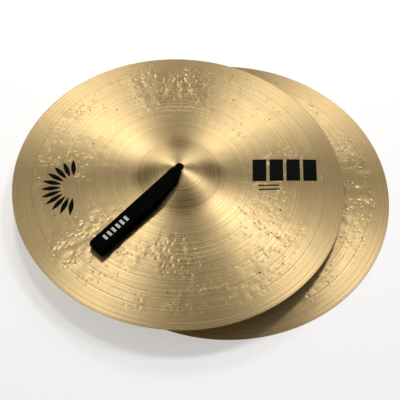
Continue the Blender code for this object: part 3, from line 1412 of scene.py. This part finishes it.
    def loop_stations(self) -> list[Station]:
        """The stations of the loop in the frame of its hinge.

        Returns:
            The stations, from the hole round the fold and back.
        """
        path = [Vector((reach, 0.0, height)) for reach, height in self.loop_path()]
        stations = []
        for i, point in enumerate(path):
            ahead = (path[min(i + 1, len(path) - 1)] - path[max(i - 1, 0)]).normalized()
            left, right = self.edges(point.x)
            left += self.drawn_in(point.x, point.z)
            if point.x < self.loop_bend + self.thickness:
                share = 1.0 - self.neck_squeeze * self.depth(point.z)
                left, right = left * share, right * share
            up = Vector((0, 1, 0)).cross(ahead)
            stations.append(Station(point, Vector((0, 1, 0)), -up, left, right))
        return stations

    def lace_route(self) -> list[Vector]:
        """Middle of one lace: down the hole, across the centre and below its neighbour, then out.

        Returns:
            The points that it goes through, in the frame at the top of the hole.
        """
        side = self.lace_thickness / 2 + self.clearance
        back = self.lace_width / 2 + self.clearance
        spread = self.knot_spread
        lane = spread + self.lace_width / 2
        step = lane - side
        under = -self.shape.bell_thickness
        bend = self.lace_thickness
        drop = self.lace_thickness * 1.3 + 2 * self.clearance
        cross = under - 2.5 * bend
        out = lane + self.lace_width / 2
        tail = self.tail_reach - out
        places = (
            (-side, back, -self.clearance),
            (-side - 0.1 * step, back, under - 0.25 * bend),
            (-side - 0.45 * step, back, under - 1.0 * bend),
            (-side - 0.82 * step, 0.95 * back, under - 1.75 * bend),
            (-lane, 0.7 * spread, cross),
            (-lane, -0.3 * spread, cross - 0.6 * drop),
            (-lane, -1.3 * spread, cross - drop),
            (-lane, -out, cross - 1.15 * drop),
            (-lane, -out - 0.5 * tail, cross - 1.15 * drop - 0.06 * tail),
            (-lane, -self.tail_reach, cross - 1.15 * drop - 0.18 * tail),
        )
        return [Vector(place) for place in places]

    def lace_stations(self) -> list[Station]:
        """The stations of one lace in the frame at the top of the hole.

        Returns:
            The stations, from the hole to the end of the tail.
        """
        route = smooth_curve(self.lace_route(), self.lace_steps)
        stations = []
        half = self.lace_width / 2
        for i, point in enumerate(route):
            ahead = (route[min(i + 1, len(route) - 1)] - route[max(i - 1, 0)]).normalized()
            across = (Vector((1, 0, 0)) - ahead * ahead.x).normalized()
            stations.append(Station(point, across, across.cross(ahead), -half, half))
        return stations

    def knot_tree(self) -> GeometryBuilder:
        """The nodes that set four laces round the hole, a quarter turn apart.

        Returns:
            The tree, ready to run on one lace.
        """
        nodes = GeometryBuilder(f"{self.side.value}_crown_knot")
        count = nodes.input("Laces", "Int", 4)
        line = nodes.add("GeometryNodeMeshLine", {"Count": count, "Offset": (0.0, 0.0, 0.0)}, mode="OFFSET")
        index = nodes.add("GeometryNodeInputIndex").outputs[0]
        angle = nodes.math("DIVIDE", nodes.times(index, math.tau), count)
        nodes.close(nodes.copies(line.outputs[0], angle), self.leather)
        return nodes

    def build_loop(self) -> bpy.types.Object:
        """Makes the loop in place of the imported handle.

        Returns:
            The finished piece.
        """
        name = self.side.value
        section = StripSection(self.thickness, self.corner, self.dome)
        mesh = strip_mesh(f"{name}_strap_loop", self.loop_stations(), section)
        mesh.transform(self.hinge_place)
        mesh.materials.append(self.leather)
        piece = stand(f"{name}_strap_loop", mesh)
        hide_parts(f"{name}_strap_handle")
        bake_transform(piece)
        LOG.info("%s: %d faces", piece.name, len(piece.data.polygons))
        return piece

    def build_knot(self) -> bpy.types.Object:
        """Makes the four laces of the knot.

        Returns:
            The finished piece.
        """
        name = self.side.value
        section = StripSection(self.lace_thickness, self.lace_corner, self.lace_dome, face_steps=4)
        lace = strip_mesh(f"{name}_lace", self.lace_stations(), section)
        piece = self.knot_tree().run(f"{name}_knot_laces", lace, self.swivel_place)
        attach(piece, f"{name}_knot")
        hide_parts(*[f"{name}_lace_{number}" for number in (1, 2, 3, 4)])
        LOG.info("%s: %d faces", piece.name, len(piece.data.polygons))
        return piece


# ---------------------------------------------------------------- studio


@dataclass(frozen=True)
class SoftBox:
    """One soft light: where it stands, how large and how strong it is, and its colour."""

    name: str
    place: Triple
    size: Pair
    power: float
    colour: Triple = (1.0, 0.99, 0.98)

    def build(self, target: Vector) -> None:
        """Hangs the light and aims it.

        Args:
            target: the point that it faces.
        """
        light = bpy.data.lights.new(self.name, "AREA")
        light.shape = "RECTANGLE"
        light.size, light.size_y = self.size
        light.energy = self.power
        light.color = self.colour
        lamp = stand(self.name, light)
        lamp.location = self.place
        lamp.rotation_euler = (target - lamp.location).to_track_quat("-Z", "Y").to_euler()


@dataclass
class Studio:
    """The camera, the lights and the pale floor."""

    eye: Triple = (-0.0193, -1.1426, 1.7213)
    forward: Triple = (0.00785, 0.5508, -0.8346)
    up: Triple = (-0.0052, 0.8346, 0.5508)
    lens: float = 126.0
    sensor: float = 36.0
    floor_half: float = 6.0
    floor_gap: float = 0.0002
    ambient: float = 0.24
    horizon: float = 0.32
    brightest: Triple = (0.0, 0.5, 0.866)
    rise: Pair = (0.15, 0.8)
    room_colour: tuple[float, ...] = (1.0, 0.97, 0.92, 1.0)
    floor_colour: tuple[float, ...] = (0.93, 0.93, 0.93, 1.0)
    glow_colour: tuple[float, ...] = (1.0, 1.0, 1.0, 1.0)
    floor_glow: float = 0.44
    aim: Triple = (0.0, 0.0, 0.03)
    soft_boxes: tuple[SoftBox, ...] = (
        SoftBox("soft_box_left", (-0.274, 0.720, 1.787), (0.3, 0.3), 6.6),
        SoftBox("soft_box_right", (0.522, 0.766, 1.710), (0.3, 0.3), 5.2),
        SoftBox("soft_box_back_left", (-0.260, 1.379, 1.330), (0.3, 0.3), 4.0),
        SoftBox("soft_box_back_right", (0.422, 1.402, 1.262), (0.3, 0.3), 1.9),
    )

    def build_camera(self) -> None:
        """Sets the camera at the viewing angle."""
        data = bpy.data.cameras.new("view")
        data.lens = self.lens
        data.sensor_width = self.sensor
        camera = stand("view", data)
        back = -Vector(self.forward).normalized()
        right = Vector(self.up).cross(back).normalized()
        upward = back.cross(right)
        turned = Matrix((right, upward, back)).transposed().to_4x4()
        camera.matrix_world = Matrix.Translation(self.eye) @ turned
        bpy.context.scene.camera = camera

    def build_floor(self) -> None:
        """Lays the plain pale floor just under the lower rim."""
        shape = bmesh.new()
        bmesh.ops.create_grid(shape, x_segments=2, y_segments=2, size=self.floor_half)
        mesh = bpy.data.meshes.new("floor")
        shape.to_mesh(mesh)
        shape.free()
        mesh.transform(Matrix.Translation((0, 0, -self.floor_gap)))
        nodes = ShaderBuilder("pale_paper")
        nodes.set_even(Roughness=0.9, Specular_IOR_Level=0.1)
        nodes.shader.inputs["Base Color"].default_value = self.floor_colour
        nodes.shader.inputs["Emission Color"].default_value = self.glow_colour
        nodes.set_even(Emission_Strength=self.floor_glow)
        mesh.materials.append(nodes.material)
        floor = stand("floor", mesh)

    def build_light(self) -> None:
        """Hangs the soft boxes and fills the rest with a pale light, strongest from above and behind."""
        for soft_box in self.soft_boxes:
            soft_box.build(Vector(self.aim))
        world = bpy.data.worlds.new("pale_room")
        world.use_nodes = True
        nodes = TreeBuilder(world.node_tree)
        sky = nodes.add("ShaderNodeTexCoord").outputs["Generated"]
        facing = nodes.vector("DOT_PRODUCT", sky, self.brightest)
        rise = nodes.smooth_step(facing, *self.rise)
        lowest = self.ambient * self.horizon
        strength = nodes.times_plus(rise, self.ambient * (1 - self.horizon), lowest)
        background = world.node_tree.nodes["Background"]
        background.inputs[0].default_value = self.room_colour
        nodes.feed(background.inputs[1], strength)
        bpy.context.scene.world = world
        bpy.context.scene.view_settings.view_transform = "Standard"

    def build(self) -> None:
        """Builds the whole studio."""
        self.build_camera()
        self.build_floor()
        self.build_light()


# ---------------------------------------------------------------- the pair


@dataclass
class CymbalPair:
    """Both cymbals with their straps and marks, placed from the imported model's joints."""

    shape: CymbalShape = CymbalShape()
    lower_raise: float = math.radians(8.094)
    drop_to_bronze: float = 0.06
    drop_to_strap: float = 0.03

    @staticmethod
    def joint(name: str) -> dict[str, Any]:
        """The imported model's joint of this name."""
        return next(joint for joint in frame["joints"] if joint["name"] == name)

    def strap_line(self, side: Side) -> tuple[Vector, Vector, Vector]:
        """Where a strap's hole is, which way its cymbal faces, and which way the strap lies.

        Args:
            side: which cymbal.

        Returns:
            The hole's place, the cymbal's axis and the strap's direction.
        """
        swivel = self.joint(f"{side.value}_strap_swivel")
        axis = Vector(swivel["axis"]).normalized()
        across = -Vector(self.joint(f"{side.value}_strap_raise")["axis"]).normalized()
        return Vector(swivel["pos_m"]), axis, across.cross(axis)

    def place_of(self, side: Side) -> tuple[Matrix, float]:
        """Where a cymbal lies.

        Args:
            side: which cymbal.

        Returns:
            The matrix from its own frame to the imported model's, and the strap's turn in that frame.
        """
        hole, axis, along = self.strap_line(side)
        lean = Vector((0, 0, 1)).rotation_difference(axis).to_matrix().to_4x4()
        place = Matrix.Translation(hole - axis * self.shape.apex) @ lean
        seen = place.to_3x3().inverted() @ along
        return place, math.atan2(seen.y, seen.x)

    def build(self) -> None:
        """Builds every piece of the pair."""
        leather = LeatherFinish().make("black_strap_leather")
        finishes = {
            Side.LOWER: BronzeFinish(seed=604.0, pit_share=0.55),
            Side.UPPER: BronzeFinish(seed=341.0, pit_share=0.2),
        }
        for side, raised in ((Side.LOWER, self.lower_raise), (Side.UPPER, 0.0)):
            place, turn = self.place_of(side)
            finish = finishes[side]
            bronze = Cymbal(side, place, self.shape, finish).build()
            strap = Strap(side, place, self.shape, leather, turn, raised)
            loop = strap.build_loop()
            strap.build_knot()
            if side is Side.UPPER:
                self.print_marks(bronze, place)
                self.print_strap(loop, strap)

    def print_marks(self, bronze: bpy.types.Object, place: Matrix) -> None:
        """Prints a fan of petals at the left of the cymbal, and bars at the right.

        Args:
            bronze: the cymbal.
            place: matrix from the cymbal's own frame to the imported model's.
        """
        lifted = place @ Matrix.Translation((0, 0, self.drop_to_bronze))
        marks = (
            PrintedMark(
                "petal_mark",
                petal(length=0.030, width=0.0072),
                BLACK_INK,
                "upper_cymbal",
                count=11,
                start=Vector((0, 0, 0)),
                step=Vector((0, 0, 0)),
                turn=math.radians(95),
                fan_centre=Vector((-0.150, -0.018, 0.0)),
                fan_angle=math.radians(17),
                reach=0.034,
            ),
            PrintedMark(
                "bar_mark",
                slanted_bar(width=0.0205, height=0.039, slant=0.006),
                BLACK_INK,
                "upper_cymbal",
                count=4,
                start=Vector((0.1165, 0.0150, 0.0)),
                step=Vector((0.0250, 0.0034, 0.0)),
                turn=math.radians(7.6),
            ),
            PrintedMark(
                "fine_line_mark",
                slanted_bar(width=0.031, height=0.0023, slant=0.0),
                BLACK_INK,
                "upper_cymbal",
                count=2,
                start=Vector((0.1290, -0.0105, 0.0)),
                step=Vector((0.0008, -0.0070, 0.0)),
                turn=math.radians(7.6),
            ),
        )
        for mark in marks:
            mark.build(bronze, lifted, Slot.BRONZE)

    def print_strap(self, loop: bpy.types.Object, strap: Strap) -> None:
        """Prints a row of small silver bars on the upper leaf, near its fold.

        Args:
            loop: the strap's loop.
            strap: the strap.
        """
        mark = PrintedMark(
            "silver_bar_mark",
            slanted_bar(width=0.0042, height=0.0085, slant=0.0),
            SILVER_FOIL,
            "upper_strap",
            count=6,
            start=Vector((0.1130, strap.sidestep, 0.0)),
            step=Vector((0.0080, 0.0, 0.0)),
        )
        lifted = strap.hinge_place @ Matrix.Translation((0, 0, self.drop_to_strap))
        mark.build(loop, lifted, Slot.LEATHER)


def main() -> None:
    """Builds the studio and the pair."""
    logging.basicConfig(level=logging.INFO, format="%(name)s %(message)s")
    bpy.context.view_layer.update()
    Studio().build()
    CymbalPair().build()
    bpy.context.view_layer.update()


if __name__ == "__main__":
    main()
